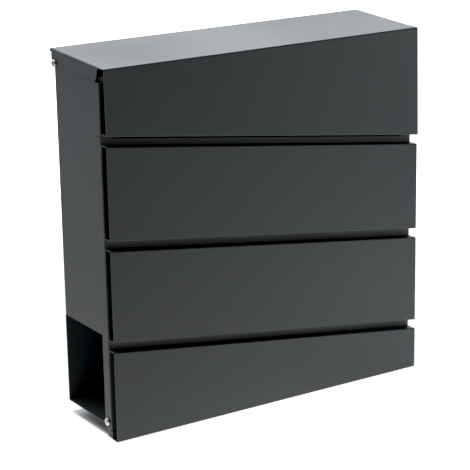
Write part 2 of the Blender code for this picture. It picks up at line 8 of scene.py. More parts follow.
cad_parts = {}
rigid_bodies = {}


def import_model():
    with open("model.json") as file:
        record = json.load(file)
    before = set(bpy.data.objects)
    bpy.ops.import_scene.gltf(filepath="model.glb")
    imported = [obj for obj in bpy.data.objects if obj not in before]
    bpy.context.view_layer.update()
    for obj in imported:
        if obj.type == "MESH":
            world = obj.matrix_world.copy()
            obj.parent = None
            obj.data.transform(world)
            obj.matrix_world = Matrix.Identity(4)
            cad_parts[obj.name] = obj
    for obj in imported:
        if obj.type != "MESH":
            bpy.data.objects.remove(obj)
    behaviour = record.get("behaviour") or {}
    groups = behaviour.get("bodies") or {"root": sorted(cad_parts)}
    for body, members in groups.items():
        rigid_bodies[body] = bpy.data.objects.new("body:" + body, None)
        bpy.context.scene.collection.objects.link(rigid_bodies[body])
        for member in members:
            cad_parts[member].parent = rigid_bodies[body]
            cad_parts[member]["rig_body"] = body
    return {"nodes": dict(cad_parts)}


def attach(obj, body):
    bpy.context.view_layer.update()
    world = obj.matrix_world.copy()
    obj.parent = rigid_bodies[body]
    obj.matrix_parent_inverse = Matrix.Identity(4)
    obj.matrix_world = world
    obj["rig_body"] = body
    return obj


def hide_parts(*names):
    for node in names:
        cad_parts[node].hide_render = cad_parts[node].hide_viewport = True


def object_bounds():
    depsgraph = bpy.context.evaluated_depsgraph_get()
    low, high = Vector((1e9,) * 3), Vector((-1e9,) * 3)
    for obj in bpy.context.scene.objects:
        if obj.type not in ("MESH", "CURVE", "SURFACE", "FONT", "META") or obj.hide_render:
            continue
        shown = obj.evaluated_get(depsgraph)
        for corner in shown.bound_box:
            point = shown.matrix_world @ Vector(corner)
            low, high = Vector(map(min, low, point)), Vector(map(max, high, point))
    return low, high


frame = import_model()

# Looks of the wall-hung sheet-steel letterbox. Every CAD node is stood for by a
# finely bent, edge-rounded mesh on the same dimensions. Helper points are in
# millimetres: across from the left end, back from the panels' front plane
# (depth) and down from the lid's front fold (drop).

cad_low, cad_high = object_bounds()

MM = 0.001
WIDTH, SHEET, B = 370.0, 1.0, 1.3
BODY_INSET, BACK_DEPTH, TOP_DROP, BOTTOM_DROP = 2.0, 104.2, 3.5, 361.2
OPENING_DROP, OPENING_FRONT, BODY_FRONT, CORNER_CLIP = 268.1, 24.5, 12.9, 21.5
LID_FRONT, LID_REAR, LID_RISE, LID_FLANGE_DROP = 0.8, 107.0, 5.3, 12.5
SKIRT_LEFT, SKIRT_LEAN, SLANT, GAP, PANEL, FRONT_DROP = 63.8, 0.021, 49.8, 9.7, 92.9, 372.4
PLATE_DEPTH, FLANGE_DEPTH, FASCIA_TOP, SPLIT, SPLIT_GAP, HEM = 11.2, 23.3, 14.5, 2.5, 0.35, 8.0
LID_AXIS, DOOR_AXIS, LOCK_DROP = (99.4, 9.0), (18.0, 356.1), 66.0
HEAD_R, HEAD_H, SHANK_R, HOLE_R = 4.0, 2.5, 1.95, 2.2
WASHER_R, WASHER_T, NUT_AF, NUT_T, PLAY, WALL_HOLE_R = 4.3, 0.6, 7.0, 3.2, 0.2, 3.5
KEEPER_RIVET_DROP, BUFFER_IN, BUFFER_DEPTH = 112.0, 16.5, 7.9
MID_DROP, HALF = (TOP_DROP + BOTTOM_DROP) / 2.0, WIDTH / 2.0
BEND_STEPS = 8
EDGE = 0.16               # rounding of cut sheet edges under the coat

X, Y, Z = Vector((1, 0, 0)), Vector((0, 1, 0)), Vector((0, 0, 1))
FRONT, REAR, LEFT, RIGHT, UP, DOWN = -Y, Y, -X, X, Z, -Z
TO_X = Matrix.Rotation(math.radians(90), 3, "Y")
TO_NEG_X = Matrix.Rotation(math.radians(-90), 3, "Y")
TO_Y = Matrix.Rotation(math.radians(-90), 3, "X")


def pt(across, depth, drop):
    return Vector((across - HALF, depth - BACK_DEPTH, MID_DROP - drop))


def slanted(drop_left, across):
    return drop_left + SLANT * across / WIDTH


# ---- materials -----------------------------------------------------------------
class Nodes:
    """Small wrapper to write a node tree in a few lines."""

    def __init__(self, name, colour, rough, metal):
        self.mat = bpy.data.materials.new(name)
        self.mat.use_nodes = True
        self.tree = self.mat.node_tree
        self.shader = self.tree.nodes["Principled BSDF"]
        self.shader.inputs["Base Color"].default_value = colour
        self.shader.inputs["Roughness"].default_value = rough
        self.shader.inputs["Metallic"].default_value = metal
        self.mat.diffuse_color = colour
        self.mat.roughness = rough
        self.mat.metallic = metal
        self.coords = self.tree.nodes.new("ShaderNodeTexCoord").outputs["Object"]

    def link(self, out, into):
        self.tree.links.new(out, into)
        return into

    def stretched(self, scale):
        """The piece's own coordinates, stretched by a scale along each axis."""
        node = self.tree.nodes.new("ShaderNodeMapping")
        node.inputs["Scale"].default_value = scale
        self.link(self.coords, node.inputs["Vector"])
        return node.outputs["Vector"]

    def noise(self, scale, detail=2.0, rough=0.5, vector=None):
        node = self.tree.nodes.new("ShaderNodeTexNoise")
        node.inputs["Scale"].default_value = scale
        node.inputs["Detail"].default_value = detail
        node.inputs["Roughness"].default_value = rough
        self.link(vector or self.coords, node.inputs["Vector"])
        return node.outputs["Fac"]

    def cells(self, scale, vector=None):
        node = self.tree.nodes.new("ShaderNodeTexVoronoi")
        node.feature = "SMOOTH_F1"
        node.inputs["Scale"].default_value = scale
        node.inputs["Smoothness"].default_value = 0.6
        self.link(vector or self.coords, node.inputs["Vector"])
        return node.outputs["Distance"]

    def remap(self, value, low, high, to_low, to_high):
        node = self.tree.nodes.new("ShaderNodeMapRange")
        for key, number in (("From Min", low), ("From Max", high), ("To Min", to_low), ("To Max", to_high)):
            node.inputs[key].default_value = number
        self.link(value, node.inputs["Value"])
        return node.outputs["Result"]

    def maths(self, kind, a, b):
        node = self.tree.nodes.new("ShaderNodeMath")
        node.operation = kind
        for i, v in enumerate((a, b)):
            if isinstance(v, (int, float)):
                node.inputs[i].default_value = v
            else:
                self.link(v, node.inputs[i])
        return node.outputs[0]

    def ramp(self, value, stops):
        node = self.tree.nodes.new("ShaderNodeValToRGB")
        ramp = node.color_ramp
        while len(ramp.elements) < len(stops):
            ramp.elements.new(0.5)
        for element, (place, colour) in zip(ramp.elements, stops):
            element.position = place
            element.color = colour
        self.link(value, node.inputs["Fac"])
        return node.outputs["Color"]

    def bump(self, height, strength, distance, below=None):
        node = self.tree.nodes.new("ShaderNodeBump")
        node.inputs["Strength"].default_value = strength
        node.inputs["Distance"].default_value = distance
        self.link(height, node.inputs["Height"])
        if below is not None:
            self.link(below, node.inputs["Normal"])
        return node.outputs["Normal"]

    def finish(self, colour=None, rough=None, normal=None):
        for out, name in ((colour, "Base Color"), (rough, "Roughness"), (normal, "Normal")):
            if out is not None:
                self.link(out, self.shader.inputs[name])
        return self.mat


COAT = (0.044, 0.051, 0.055, 1.0)


def powder_coat():
    """Anthracite fine-textured powder coat: sandy grain under half a millimetre, a faint orange
    peel a few millimetres across, and slow drifts of tone and gloss as the spray leaves them."""
    n = Nodes("anthracite_coat", COAT, 0.46, 0.0)
    drift = n.noise(7.0, 3.0, 0.55)
    cloud = n.noise(38.0, 3.0, 0.5)
    grain = n.noise(2300.0, 2.0, 0.6)
    speck = n.cells(1500.0)
    peel = n.noise(310.0, 2.0, 0.45)
    tone = n.maths("ADD", n.maths("MULTIPLY", drift, 0.5), n.maths("ADD", n.maths("MULTIPLY", cloud, 0.22), n.maths("MULTIPLY", grain, 0.28)))
    colour = n.ramp(tone, [
        (0.30, (0.0385, 0.0448, 0.0484, 1)),
        (0.46, (0.0434, 0.0503, 0.0543, 1)),
        (0.55, (0.0456, 0.0527, 0.0566, 1)),
        (0.70, (0.0505, 0.0578, 0.0617, 1)),
    ])
    gloss = n.maths("ADD", n.maths("MULTIPLY", drift, 0.6), n.maths("MULTIPLY", grain, 0.4))
    rough = n.remap(gloss, 0.3, 0.7, 0.41, 0.52)
    normal = n.bump(peel, 0.22, 0.00006)
    normal = n.bump(speck, 0.30, 0.00004, normal)
    normal = n.bump(grain, 0.28, 0.00003, normal)
    return n.finish(colour, rough, normal)


def zinc_steel():
    """Bright zinc plate: faint cold spangle and fine turning marks."""
    n = Nodes("zinc_steel", (0.66, 0.66, 0.67, 1), 0.3, 1.0)
    spangle = n.cells(900.0)
    fine = n.noise(5200.0, 2.0)
    marks = n.noise(2600.0, 3.0, 0.6, n.stretched((1.0, 0.12, 1.0)))
    colour = n.ramp(n.maths("ADD", n.maths("MULTIPLY", spangle, 0.5), n.maths("MULTIPLY", fine, 0.5)), [
        (0.20, (0.55, 0.555, 0.57, 1)), (0.50, (0.67, 0.67, 0.675, 1)), (0.80, (0.76, 0.755, 0.74, 1)),
    ])
    rough = n.remap(marks, 0.3, 0.7, 0.22, 0.38)
    return n.finish(colour, rough, n.bump(marks, 0.25, 0.00002, n.bump(fine, 0.12, 0.00001)))


def nickel_plate():
    """Satin nickel over die-cast zinc: nearly smooth, with hairline handling marks."""
    n = Nodes("nickel_plate", (0.70, 0.69, 0.66, 1), 0.2, 1.0)
    cast = n.noise(420.0, 3.0)
    hair = n.noise(1800.0, 4.0, 0.65, n.stretched((1.0, 1.0, 0.08)))
    colour = n.ramp(cast, [(0.3, (0.64, 0.625, 0.59, 1)), (0.7, (0.75, 0.74, 0.715, 1))])
    rough = n.remap(hair, 0.35, 0.7, 0.15, 0.30)
    return n.finish(colour, rough, n.bump(hair, 0.14, 0.00001, n.bump(cast, 0.10, 0.00004)))


def nylon():
    """Black moulded nylon: a low sheen with a faint sink texture."""
    n = Nodes("nylon", (0.03, 0.03, 0.031, 1), 0.5, 0.0)
    sink = n.noise(900.0, 3.0)
    fine = n.noise(4200.0, 2.0)
    colour = n.ramp(sink, [(0.3, (0.022, 0.022, 0.023, 1)), (0.7, (0.042, 0.042, 0.043, 1))])
    return n.finish(colour, n.remap(fine, 0.3, 0.7, 0.42, 0.6), n.bump(fine, 0.2, 0.00002))


def rubber():
    """Black rubber: dull, with a dusty bloom and a fine moulded grain."""
    n = Nodes("rubber", (0.014, 0.014, 0.015, 1), 0.8, 0.0)
    bloom = n.noise(260.0, 4.0, 0.6)
    grain = n.noise(3000.0, 2.0)
    colour = n.ramp(bloom, [(0.35, (0.010, 0.010, 0.011, 1)), (0.75, (0.026, 0.026, 0.027, 1))])
    return n.finish(colour, n.remap(bloom, 0.3, 0.7, 0.7, 0.88), n.bump(grain, 0.35, 0.00003))


FINISH = {
    "anthracite_coat": powder_coat(),
    "zinc_steel": zinc_steel(),
    "nickel_plate": nickel_plate(),
    "nylon": nylon(),
    "rubber": rubber(),
}


# ---- mesh helpers ------------------------------------------------------------------
def mesh_of(name, faces):
    bm = bmesh.new()
    found = {}

    def vert(p):
        key = (round(p[0], 4), round(p[1], 4), round(p[2], 4))
        if key not in found:
            found[key] = bm.verts.new(Vector(p) * MM)
        return found[key]

    for corners in faces:
        ring = []
        for p in corners:
            v = vert(p)
            if v not in ring:
                ring.append(v)
        if len(ring) > 2:
            bm.faces.new(ring)
    mesh = bpy.data.meshes.new(name)
    bm.to_mesh(mesh)
    bm.free()
    return mesh


def outward(mesh, first=None):
    """Turns the faces to agree; an open skin follows the direction given for its first face."""
    bm = bmesh.new()
    bm.from_mesh(mesh)
    bmesh.ops.recalc_face_normals(bm, faces=bm.faces)
    bm.faces.ensure_lookup_table()
    if first is not None and bm.faces[0].normal.dot(first) < 0:
        bmesh.ops.reverse_faces(bm, faces=bm.faces)
    bm.to_mesh(mesh)
    bm.free()


def baked(obj):
    """Gives the object its evaluated mesh and drops its modifiers."""
    bpy.context.view_layer.update()
    graph = bpy.context.evaluated_depsgraph_get()
    mesh = bpy.data.meshes.new_from_object(obj.evaluated_get(graph))
    old = obj.data
    obj.modifiers.clear()
    obj.data = mesh
    mesh.name = obj.name
    bpy.data.meshes.remove(old)
    return mesh


def piece(name, mesh, node, slot):
    """A finished piece that stands for one CAD node and rides on that node's body."""
    obj = bpy.data.objects.new(name, mesh)
    bpy.context.scene.collection.objects.link(obj)
    mesh.materials.clear()
    mesh.materials.append(FINISH[slot])
    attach(obj, frame["nodes"][node]["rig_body"])
    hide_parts(node)
    return obj


def rounded(obj, width=EDGE, angle=38.0, segments=2):
    """Rounds the sharp edges a little and weights the normals, so flats stay flat."""
    bevel = obj.modifiers.new("Edges", "BEVEL")
    bevel.width = width * MM
    bevel.segments = segments
    bevel.limit_method = "ANGLE"
    bevel.angle_limit = math.radians(angle)
    bevel.miter_outer = "MITER_ARC"
    mesh = baked(obj)
    mesh.shade_smooth()
    weighted = obj.modifiers.new("Normals", "WEIGHTED_NORMAL")
    weighted.mode = "FACE_AREA"
    weighted.weight = 60
    weighted.keep_sharp = True
    return obj


def cutter_of(name, faces):
    mesh = mesh_of(name, faces)
    outward(mesh)
    obj = bpy.data.objects.new(name, mesh)
    bpy.context.scene.collection.objects.link(obj)
    return obj


def carve(obj, cutters):
    """Cuts every cutter out of the object, then removes the cutters."""
    for cutter in cutters:
        mod = obj.modifiers.new(cutter.name, "BOOLEAN")
        mod.operation = "DIFFERENCE"
        mod.solver = "EXACT"
        mod.object = cutter
    baked(obj)
    for cutter in cutters:
        mesh = cutter.data
        bpy.data.objects.remove(cutter)
        bpy.data.meshes.remove(mesh)


def prism_faces(outline, along):
    low, high = list(outline), [p + along for p in outline]
    count = len(low)
    return [low, high] + [[low[i], low[(i + 1) % count], high[(i + 1) % count], high[i]] for i in range(count)]


def round_cutter(name, centre, direction, radius, length, sides=40):
    turn = Z.rotation_difference(direction).to_matrix()
    base = centre - direction * (length / 2.0)
    ring = [turn @ Vector((radius * math.cos(2 * math.pi * i / sides), radius * math.sin(2 * math.pi * i / sides), 0)) + base for i in range(sides)]
    return cutter_of(name, prism_faces(ring, direction * length))


def arc(centre, u, v, radius, steps=BEND_STEPS):
    return [
        centre + u * (radius * math.cos(math.pi / 2.0 * i / steps)) + v * (radius * math.sin(math.pi / 2.0 * i / steps))
        for i in range(steps + 1)
    ]


def ribbon(row_a, row_b):
    return [[row_a[i], row_a[i + 1], row_b[i + 1], row_b[i]] for i in range(len(row_a) - 1)]


def sheet_piece(name, faces, up, node, cutters=()):
    """A folded sheet from its outer surface, thickened inward, cut, with rounded edges."""
    mesh = mesh_of(name, faces)
    outward(mesh, up)
    obj = piece(name, mesh, node, "anthracite_coat")
    thick = obj.modifiers.new("Sheet", "SOLIDIFY")
    thick.thickness = SHEET * MM
    thick.offset = -1.0
    thick.use_even_offset = True
    thick.use_rim = True
    baked(obj)
    if cutters:
        carve(obj, cutters)
    return rounded(obj)


def lathe_mesh(name, profile, place, turn, sides=48, sharp=32.0):
    """A closed turned piece; profile is (radius, height) pairs from bottom to top along +Z."""
    solid = profile[0][0] == 0.0 and profile[-1][0] == 0.0
    rows = [
        [turn @ Vector((r * math.cos(2 * math.pi * i / sides), r * math.sin(2 * math.pi * i / sides), h)) + place for i in range(sides)]
        for r, h in profile
    ]
    pairs = list(zip(rows, rows[1:])) if solid else list(zip(rows, rows[1:] + rows[:1]))
    faces = []
    for low, high in pairs:
        for i in range(sides):
            j = (i + 1) % sides
            faces.append([low[i], low[j], high[j], high[i]])
    mesh = mesh_of(name, faces)
    outward(mesh)
    mesh.shade_smooth()
    mesh.set_sharp_from_angle(angle=math.radians(sharp))
    return mesh


lid_axis = pt(HALF, *LID_AXIS)
door_axis = pt(HALF, *DOOR_AXIS)
lock_axis = pt(HALF, PLATE_DEPTH, LOCK_DROP)


# ---- body shell ------------------------------------------------------------------------
def body_shell():
    faces = []
    rear, low, top = BACK_DEPTH, BOTTOM_DROP, TOP_DROP
    left, right = BODY_INSET, WIDTH - BODY_INSET
    # the back plate is one flat sheet; it is drawn as strips so that every face stays simple
    xs = [left + B, left + 8, right - 8, right - B]
    faces.append([pt(xs[0], rear, top), pt(xs[1], rear, top), pt(xs[1], rear, top + B), pt(xs[1], rear, OPENING_DROP), pt(xs[0], rear, OPENING_DROP)])
    faces.append([pt(xs[1], rear, top + B), pt(xs[2], rear, top + B), pt(xs[2], rear, OPENING_DROP), pt(xs[1], rear, OPENING_DROP)])
    faces.append([pt(xs[2], rear, top + B), pt(xs[2], rear, top), pt(xs[3], rear, top), pt(xs[3], rear, OPENING_DROP), pt(xs[2], rear, OPENING_DROP)])
    faces.append([
        pt(left, rear, OPENING_DROP), pt(xs[0], rear, OPENING_DROP), pt(xs[1], rear, OPENING_DROP), pt(xs[2], rear, OPENING_DROP),
        pt(xs[3], rear, OPENING_DROP), pt(right, rear, OPENING_DROP), pt(right, rear, low - B), pt(left, rear, low - B),
    ])
    fold_l = arc(pt(left + 8, rear - B, top + B), REAR, UP, B)
    fold_r = arc(pt(right - 8, rear - B, top + B), REAR, UP, B)
    faces += ribbon(fold_l, fold_r)
    faces.append([fold_l[-1], fold_r[-1], pt(right - 8, rear - 11, top), pt(left + 8, rear - 11, top)])
    fold_l = arc(pt(left, rear - B, low - B), REAR, DOWN, B)
    fold_r = arc(pt(right, rear - B, low - B), REAR, DOWN, B)
    faces += ribbon(fold_l, fold_r)
    front = DOOR_AXIS[0]
    faces.append([
        fold_l[-1], fold_r[-1], pt(right, OPENING_FRONT + 0.3, low), pt(right - SHEET - 0.3, OPENING_FRONT + 0.3, low),
        pt(right - SHEET - 0.3, front, low), pt(right - 9, front, low), pt(right - 9, front + B, low),
        pt(left + 9, front + B, low), pt(left + 9, front, low), pt(left + SHEET + 0.3, front, low),
        pt(left + SHEET + 0.3, OPENING_FRONT + 0.3, low), pt(left, OPENING_FRONT + 0.3, low),
    ])
    lip_l = arc(pt(left + 9, front + B, low - B), DOWN, FRONT, B)
    lip_r = arc(pt(right - 9, front + B, low - B), DOWN, FRONT, B)
    faces += ribbon(lip_l, lip_r)
    faces.append([lip_l[-1], lip_r[-1], pt(right - 9, front, low - 12), pt(left + 9, front, low - 12)])
    for edge, out, inn in ((left, LEFT, 1), (right, RIGHT, -1)):
        corner_low = arc(pt(edge + inn * B, rear - B, OPENING_DROP), REAR, out, B)
        corner_top = arc(pt(edge + inn * B, rear - B, top), REAR, out, B)
        faces += ribbon(corner_low, corner_top)
        lip_low, lip_top = low - 16.0, FASCIA_TOP + 6.0
        heel = arc(pt(edge, DOOR_AXIS[0], DOOR_AXIS[1]), DOWN, FRONT, low - DOOR_AXIS[1], 10)
        side = [corner_top[-1], corner_low[-1], pt(edge, OPENING_FRONT, OPENING_DROP), pt(edge, OPENING_FRONT, low)]
        side += heel
        side += [
            pt(edge, BODY_FRONT, lip_low), pt(edge, BODY_FRONT + B, lip_low),
            pt(edge, BODY_FRONT + B, lip_top), pt(edge, BODY_FRONT, lip_top),
            pt(edge, BODY_FRONT, FASCIA_TOP + 4.0), pt(edge, CORNER_CLIP, FASCIA_TOP + 2.0), pt(edge, CORNER_CLIP, top),
        ]
        faces.append(side)
        lo = arc(pt(edge + inn * B, BODY_FRONT + B, lip_low), out, FRONT, B)
        hi = arc(pt(edge + inn * B, BODY_FRONT + B, lip_top), out, FRONT, B)
        faces += ribbon(lo, hi)
        faces.append([lo[-1], hi[-1], pt(edge + inn * 9, BODY_FRONT, lip_top), pt(edge + inn * 9, BODY_FRONT, lip_low)])
    cutters = [
        round_cutter(f"wall_{i}", pt(across, rear, drop), Y, WALL_HOLE_R, 12)
        for i, (across, drop) in enumerate(((45, 55), (325, 55), (45, 235), (325, 235)))
    ]
    for axis in (lid_axis, door_axis):
        for edge in (left, right):
            cutters.append(round_cutter("hinge", Vector((edge - HALF, axis.y, axis.z)), X, HOLE_R, 6))
    sheet_piece("shell", faces, REAR, "body_shell", cutters)


def compartment_shelf():
    g = 0.3
    left, right = BODY_INSET + SHEET + g, WIDTH - BODY_INSET - SHEET - g
    rear, front = BACK_DEPTH - SHEET - g, BODY_FRONT + SHEET + 2.0
    low, up = OPENING_DROP - 1.0, 11.0
    faces = [[pt(left + B, front + B, low), pt(right - B, front + B, low), pt(right - B, rear - B, low), pt(left + B, rear - B, low)]]
    for a, b, out in (
        (pt(left + B, front + B, low - B), pt(right - B, front + B, low - B), FRONT),
        (pt(right - B, rear - B, low - B), pt(left + B, rear - B, low - B), REAR),
        (pt(left + B, rear - B, low - B), pt(left + B, front + B, low - B), LEFT),
        (pt(right - B, front + B, low - B), pt(right - B, rear - B, low - B), RIGHT),
    ):
        row_a, row_b = arc(a, DOWN, out, B), arc(b, DOWN, out, B)
        faces += ribbon(row_a, row_b)
        rise = UP * (up - B)
        faces.append([row_a[-1], row_b[-1], row_b[-1] + rise, row_a[-1] + rise])
    sheet_piece("shelf", faces, DOWN, "compartment_shelf")


# ---- fascia and door leaf ------------------------------------------------------------------
def side_flange(top_drop, low_drop, edge, out, inn, clip=0.0):
    hi = arc(pt(edge + inn * B, PLATE_DEPTH + B, top_drop), FRONT, out, B)
    lo = arc(pt(edge + inn * B, PLATE_DEPTH + B, low_drop), FRONT, out, B)
    faces = ribbon(hi, lo)
    plate = [hi[-1], lo[-1]]
    if clip:
        plate += [pt(edge, FLANGE_DEPTH - 4.6, low_drop), pt(edge, FLANGE_DEPTH, low_drop - clip)]
    else:
        plate += [pt(edge, FLANGE_DEPTH, low_drop)]
    plate += [pt(edge, FLANGE_DEPTH, top_drop)]
    faces.append(plate)
    return faces


def back_fold(a, b, depth, normal_in):
    row_a, row_b = arc(a, FRONT, normal_in, B), arc(b, FRONT, normal_in, B)
    back = REAR * (depth - B)
    return ribbon(row_a, row_b) + [[row_a[-1], row_b[-1], row_b[-1] + back, row_a[-1] + back]]


slant_along = Vector((1, 0, -SLANT / WIDTH)).normalized()
slant_down = Vector((slant_along.z, 0, -slant_along.x))


def front_fascia():
    top, d = FASCIA_TOP, PLATE_DEPTH
    low_l = SKIRT_LEFT + SPLIT
    in_l, in_r = BODY_INSET + SHEET + 0.7, WIDTH - BODY_INSET - SHEET - 0.7
    fl, fr = 14.0, WIDTH - 14.0

    def low(x, inset=0.0):
        return pt(x, d, slanted(low_l, x)) - slant_down * inset

    faces = [[
        pt(B, d, top), pt(in_l, d, top), pt(in_l, d, top + B), pt(in_r, d, top + B), pt(in_r, d, top), pt(WIDTH - B, d, top),
        pt(WIDTH - B, d, slanted(low_l, WIDTH - B)), low(fr), low(fr, B), low(fl, B), low(fl), pt(B, d, slanted(low_l, B)),
    ]]
    for edge, out, inn in ((0.0, LEFT, 1), (WIDTH, RIGHT, -1)):
        faces += side_flange(top, slanted(low_l, edge + inn * B), edge, out, inn)
    faces += back_fold(pt(in_l, d + B, top + B), pt(in_r, d + B, top + B), 30.0, UP)
    faces += back_fold(low(fl, B) + REAR * B, low(fr, B) + REAR * B, 7.0, slant_down)
    sheet_piece("fascia", faces, FRONT, "front_fascia", [round_cutter("lock_hole", lock_axis, Y, 8.3, 10, 56)])


def door_leaf():
    top_l = SKIRT_LEFT + SPLIT + SPLIT_GAP
    low, d = FRONT_DROP - 0.8, PLATE_DEPTH
    fl, fr = 14.0, WIDTH - 14.0

    def high(x, inset=0.0):
        return pt(x, d, slanted(top_l, x)) + slant_down * inset

    faces = [[
        pt(B, d, slanted(top_l, B)), high(fl), high(fl, B), high(fr, B), high(fr), pt(WIDTH - B, d, slanted(top_l, WIDTH - B)),
        pt(WIDTH - B, d, low), pt(B, d, low),
    ]]
    for edge, out, inn in ((0.0, LEFT, 1), (WIDTH, RIGHT, -1)):
        faces += side_flange(slanted(top_l, edge + inn * B), low, edge, out, inn, clip=12.0)
    faces += back_fold(high(fl, B) + REAR * B, high(fr, B) + REAR * B, 7.0, -slant_down)
    cutters = [round_cutter("door_hole", Vector((e - HALF, door_axis.y, door_axis.z)), X, HOLE_R, 6) for e in (0.0, WIDTH)]
    cutters += [round_cutter("rivet_hole", pt(HALF + off, d, KEEPER_RIVET_DROP), Y, 1.8, 6, 28) for off in (-9.0, 9.0)]
    sheet_piece("door_plate", faces, FRONT, "door_leaf", cutters)


# ---- channel panels ----------------------------------------------------------------------------
def channel(name, node, top_l, top_r, low_l, low_r):
    depth = PLATE_DEPTH - 0.3

    def end(x, top, low):
        row = [pt(x, depth, top + HEM), pt(x, depth, top)]
        row += arc(pt(x, B, top + B), UP, FRONT, B)
        row += arc(pt(x, B, low - B), FRONT, DOWN, B)
        row += [pt(x, depth, low), pt(x, depth, low - HEM)]
        return row

    faces = ribbon(end(0.0, top_l, low_l), end(WIDTH, top_r, low_r))
    face = 2 + BEND_STEPS
    faces = [faces[face]] + faces[:face] + faces[face + 1:]
    sheet_piece(name, faces, FRONT, node)


# ---- lid -----------------------------------------------------------------------------------------
buffer_axis = Vector((SLANT / WIDTH, 0, 1)).normalized()


def buffer_at(x):
    return pt(x, BUFFER_DEPTH, slanted(SKIRT_LEFT, x))


def lid():
    slope = LID_RISE / (LID_REAR - LID_FRONT)
    along = Vector((0, 1, slope)).normalized()
    over = Vector((0, -along.z, along.y))
    skirt_down = Vector((0, -SKIRT_LEAN, -1)).normalized()
    skirt_out = Vector((0, skirt_down.z, -skirt_down.y))

    def top_at(x, depth):
        return pt(x, depth, -(depth - LID_FRONT) * slope)

    def fillet(corner, dir_in, dir_out, n_in, n_out, steps=BEND_STEPS):
        turn = math.acos(max(-1.0, min(1.0, dir_in.dot(dir_out))))
        centre = corner - dir_in * (B * math.tan(turn / 2.0)) - n_in * B
        out = []
        for i in range(steps + 1):
            f = i / steps
            n = (n_in * math.sin((1 - f) * turn) + n_out * math.sin(f * turn)) / math.sin(turn)
            out.append(centre + n.normalized() * B)
        return out

    lip_dir = Vector((0, math.sin(math.radians(40)), -math.cos(math.radians(40))))
    lip_out = Vector((0, math.cos(math.radians(40)), math.sin(math.radians(40))))
    rows = []
    for x in (0.0, WIDTH):
        height = slanted(SKIRT_LEFT, x)
        crest = pt(x, LID_FRONT, 0.0)
        foot = crest + skirt_down * (height / -skirt_down.z)
        low = fillet(foot, FRONT, -skirt_down, DOWN, skirt_out)
        tip = Vector((foot.x, pt(0, PLATE_DEPTH - 0.6, 0).y, foot.z))
        front = fillet(crest, -skirt_down, along, skirt_out, over)
        heel = fillet(top_at(x, LID_REAR), along, lip_dir, over, lip_out, 6)
        end = top_at(x, LID_REAR) + lip_dir * 4.2
        rows.append((tip, low, front, heel, end))
    (tip_a, low_a, front_a, heel_a, end_a), (tip_b, low_b, front_b, heel_b, end_b) = rows
    y0, y1 = 12.6, 106.0
    faces = [[
        front_a[-1], top_at(0, y0), top_at(B, y0), top_at(B, y1), top_at(0, y1), heel_a[0],
        heel_b[0], top_at(WIDTH, y1), top_at(WIDTH - B, y1), top_at(WIDTH - B, y0), top_at(WIDTH, y0), front_b[-1],
    ]]
    faces += ribbon(front_a, front_b)
    faces.append([low_a[-1], front_a[0], front_b[0], low_b[-1]])
    faces += ribbon(low_a, low_b)
    faces.append([tip_a, low_a[0], low_b[0], tip_b])
    faces += ribbon(heel_a, heel_b)
    faces.append([heel_a[-1], end_a, end_b, heel_b[-1]])
    for edge, out, inn in ((0.0, LEFT, 1), (WIDTH, RIGHT, -1)):
        fore = arc(top_at(edge + inn * B, y0) - UP * B, UP, out, B)
        aft = arc(top_at(edge + inn * B, y1) - UP * B, UP, out, B)
        faces += ribbon(fore, aft)
        round_rear = [
            pt(edge, y1 - 2.5 + 2.5 * math.cos(math.radians(a)), LID_FLANGE_DROP - 2.5 + 2.5 * math.sin(math.radians(a)))
            for a in (0, 15, 30, 45, 60, 75, 90)
        ]
        faces.append([fore[-1], aft[-1]] + round_rear + [
            pt(edge, 17.8, LID_FLANGE_DROP), pt(edge, 16.8, LID_FLANGE_DROP - 0.5), pt(edge, 16.2, LID_FLANGE_DROP - 1.6),
        ])
    cutters = [round_cutter("lid_hole", Vector((e - HALF, lid_axis.y, lid_axis.z)), X, HOLE_R, 6) for e in (0.0, WIDTH)]
    cutters += [round_cutter("stud_hole", buffer_at(x), buffer_axis, 1.9, 8, 28) for x in (BUFFER_IN, WIDTH - BUFFER_IN)]
    sheet_piece("hood", faces, UP, "lid", cutters)
    turn = Z.rotation_difference(buffer_axis).to_matrix()
    g = 0.2
    for side, x in (("left", BUFFER_IN), ("right", WIDTH - BUFFER_IN)):
        profile = [(0, -g - 1.6), (1.6, -g - 1.6)] + [(2.2 + 0.8 * math.sin(a), -g - 1.0 - 0.6 * math.cos(a)) for a in (math.radians(d) for d in (0, 22, 45, 67, 90))]
        profile += [(3.0, -g), (1.6, -g), (1.6, SHEET + g), (2.5, SHEET + g), (2.42, SHEET + g + 0.5), (2.15, SHEET + g + 1.1), (1.8, SHEET + g + 1.45), (1.3, SHEET + g + 1.6), (0, SHEET + g + 1.6)]
        piece(f"stud_{side}", lathe_mesh("stud", profile, buffer_at(x), turn, 36), f"lid_buffer_{side}", "rubber")


# ---- screws, washers, nuts, rivets -----------------------------------------------------------------
def cross_recess(name, centre, inward, size, deep):
    """Cutters for a cross recess: two tapered bars that meet on the axis."""
    turn = Z.rotation_difference(inward).to_matrix()
    out = []
    for i, lean in enumerate((22.5, 112.5)):
        spin = Matrix.Rotation(math.radians(lean), 3, "Z")
        faces_low, faces_high = [], []
        for sx, sy in ((-1, -1), (1, -1), (1, 1), (-1, 1)):
            faces_low.append(turn @ (spin @ Vector((sx * size, sy * 0.48, -0.6))) + centre)
            faces_high.append(turn @ (spin @ Vector((sx * size * 0.35, sy * 0.24, deep))) + centre)
        faces = [faces_low, faces_high] + [[faces_low[k], faces_low[(k + 1) % 4], faces_high[(k + 1) % 4], faces_high[k]] for k in range(4)]
        out.append(cutter_of(f"{name}_{i}", faces))
    return out


